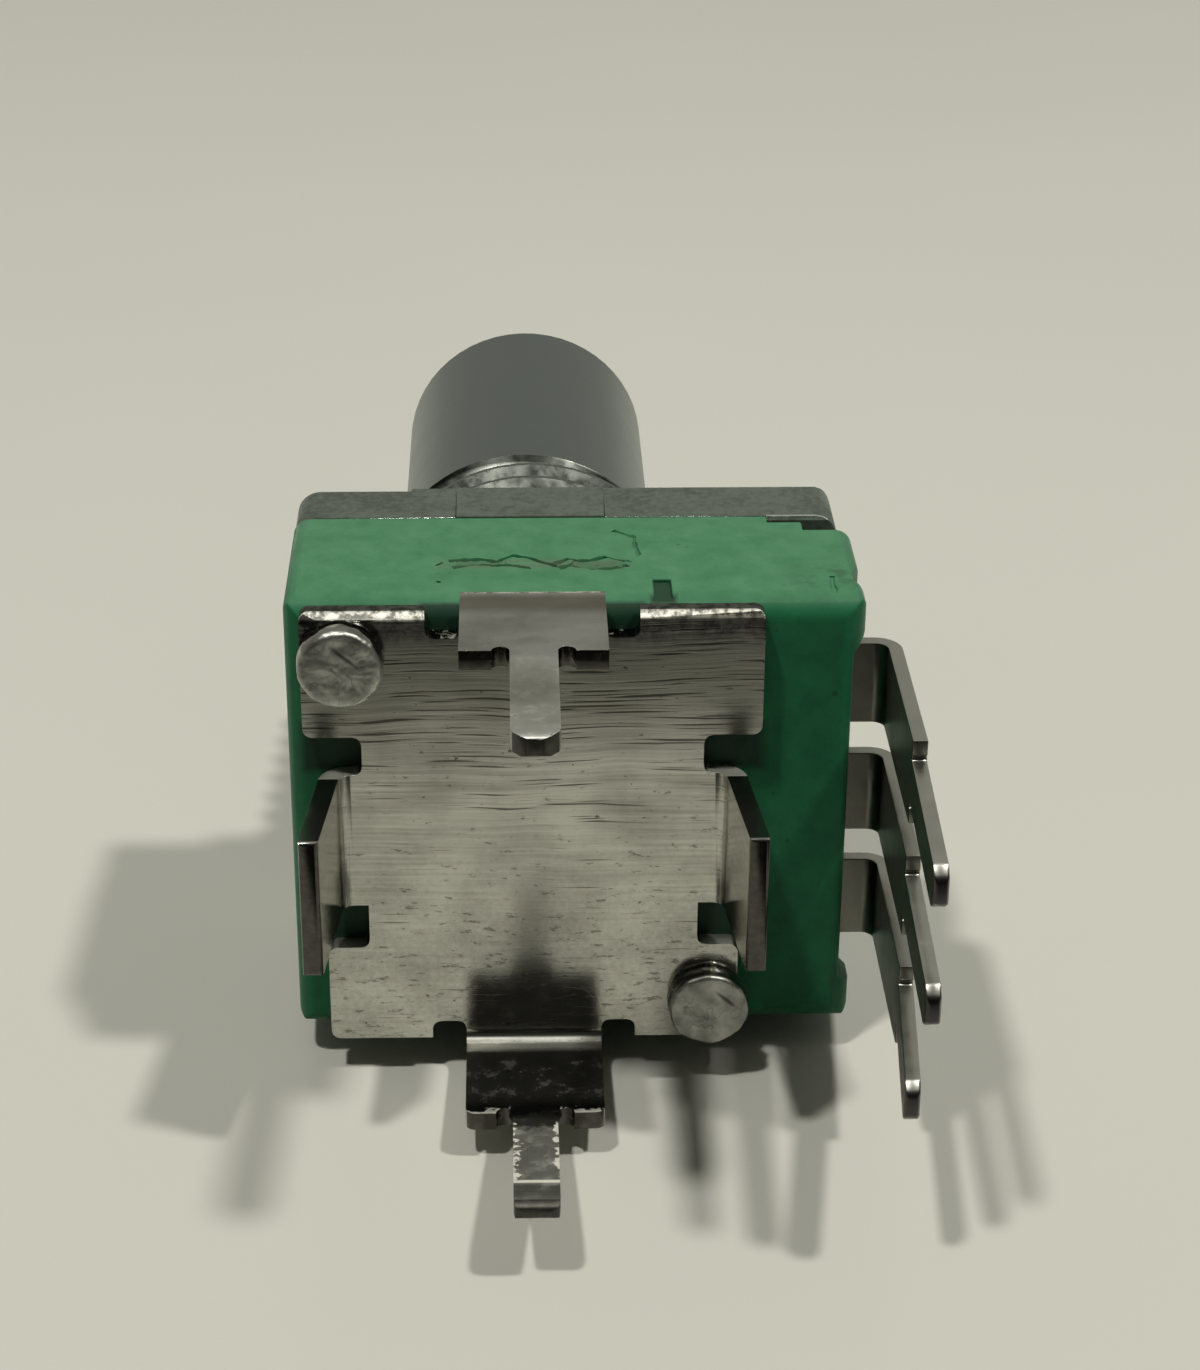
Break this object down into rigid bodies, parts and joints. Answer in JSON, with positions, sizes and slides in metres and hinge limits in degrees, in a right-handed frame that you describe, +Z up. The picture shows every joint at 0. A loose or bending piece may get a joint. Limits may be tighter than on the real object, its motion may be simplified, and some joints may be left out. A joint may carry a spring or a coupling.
{
  "type": "rotary potentiometer",
  "caption": "Small rotary potentiometer with a plain round shaft, a green moulded body, a folded metal rear bracket with board legs, and flat terminals on one side.",
  "frame": {"origin": "on the shaft axis, in the plane of the casting's panel face", "axes": "+Y along the shaft away from the body, +X towards the terminals, +Z up with the part lying on its flat lower side"},
  "size_m": [0.0123, 0.0275, 0.0108],
  "materials": {
    "zinc_casting": "as cast, mottled satin",
    "shaft_metal": "fine turned satin",
    "washer_bronze": "bright",
    "ring_steel": "spring steel, satin",
    "rotor_resin": "moulded, matte",
    "spring_bronze": "rolled, bright",
    "green_resin": "moulded, matte",
    "board_laminate": "pressed laminate, matte",
    "carbon_film": "printed, matte",
    "silver_film": "printed, satin",
    "tinned_strip": "tin plated, satin",
    "tinned_sheet": "tin plated sheet with fine rolling lines"
  },
  "bodies": {
    "body": {"front_casting": "zinc_casting", "thrust_washer": "washer_bronze", "housing": "green_resin", "element_board": "board_laminate", "resistive_track": "carbon_film", "collector_ring": "silver_film", "end_pad_upper": "silver_film", "end_pad_lower": "silver_film", "terminal_upper": "tinned_strip", "terminal_middle": "tinned_strip", "terminal_lower": "tinned_strip", "rear_bracket": "tinned_sheet"},
    "shaft": {"control_shaft": "shaft_metal", "retaining_ring": "ring_steel", "rotor": "rotor_resin", "wiper_spring": "spring_bronze"}
  },
  "joints": [
    {"name": "shaft_turn", "type": "hinge", "parent": "body", "child": "shaft", "pos_m": [0, 0, 0], "axis": [0, 1, 0], "range_deg": [-140, 140]}
  ]
}
